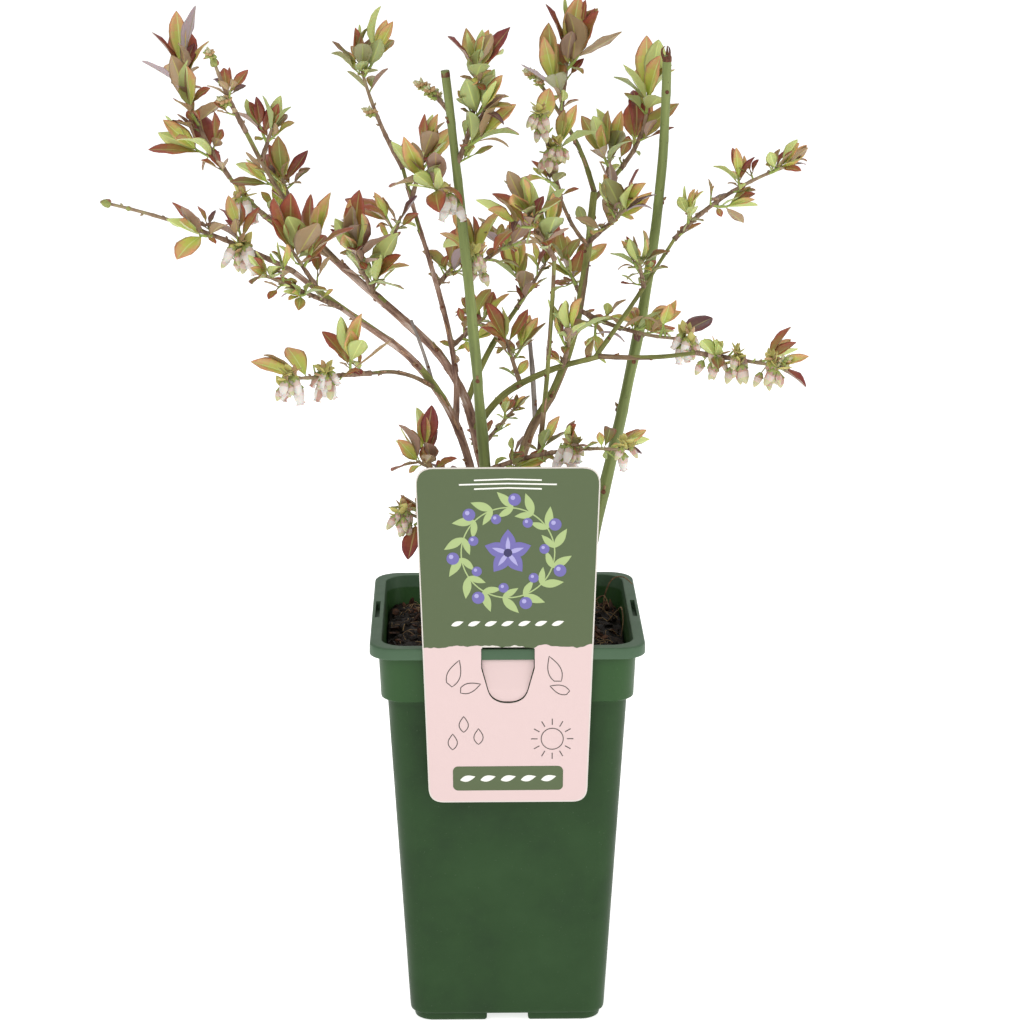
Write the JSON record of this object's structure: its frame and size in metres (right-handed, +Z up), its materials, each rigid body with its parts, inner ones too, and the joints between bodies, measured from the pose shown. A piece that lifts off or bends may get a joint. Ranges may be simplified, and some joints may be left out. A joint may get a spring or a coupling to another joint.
{
  "type": "blueberry bush in a pot",
  "caption": "Young blueberry bush in spring leaf and flower, growing in a deep square nursery pot that has a plain hang label on its front lip.",
  "frame": {"origin": "on the surface that the pot stands on, under the middle of the pot's underside", "axes": "+Z up, -Y towards the front with the label, +X to the right as seen from the front"},
  "size_m": [0.3812, 0.2473, 0.5582],
  "materials": {
    "pot": "smooth moulded plastic with a soft sheen",
    "soil": "moist fibrous peat",
    "label": "satin printed sheet",
    "cane": "smooth green bark",
    "bark": "thin flaking bark",
    "dead": "dry grey wood",
    "foliage": "thin leaves with a soft sheen"
  },
  "bodies": {
    "root": {"pot": "pot", "soil": "soil", "label": "label", "cane_front": "cane", "cane_right": "cane", "stem_left": "bark", "stem_main": "bark", "stem_right": "bark", "stem_thin": "bark", "bough_left_rear": "bark", "bough_left_upper": "bark", "bough_middle": "bark", "bough_inner_left": "bark", "bough_arching": "bark", "bough_right_low": "bark", "bough_right_rising": "bark", "bough_inner_right": "bark", "bough_right_rear": "bark", "bough_right_top": "bark", "bough_right_front": "bark", "bough_low_left": "bark", "dead_stub": "dead", "dead_twig": "dead", "spray_far_left": "foliage", "spray_left_fork": "foliage", "spray_left_twig": "foliage", "spray_left_inner": "foliage", "spray_top_left": "foliage", "spray_upper_side": "foliage", "spray_rear_left": "foliage", "spray_left_mid": "foliage", "spray_crown_left": "foliage", "spray_inner_left": "foliage", "spray_low_left": "foliage", "spray_top_middle": "foliage", "spray_middle_side": "foliage", "spray_middle_rear": "foliage", "spray_middle_low": "foliage", "spray_cane_top": "foliage", "spray_cane_bud": "foliage", "spray_cane_left": "foliage", "spray_cane_right": "foliage", "spray_inner_right": "foliage", "spray_centre": "foliage", "spray_arch": "foliage", "spray_arch_back": "foliage", "spray_front_right": "foliage", "spray_rear_right": "foliage", "spray_rear_side": "foliage", "spray_top_right": "foliage", "spray_right_heart": "foliage", "spray_right_back": "foliage", "spray_right_tip": "foliage", "spray_cane_cross": "foliage", "spray_low_right": "foliage", "spray_mid_right": "foliage", "spray_foot_right": "foliage", "spray_foot_back": "foliage", "spray_foot_left": "foliage", "spray_pot_left": "foliage"}
  },
  "joints": []
}
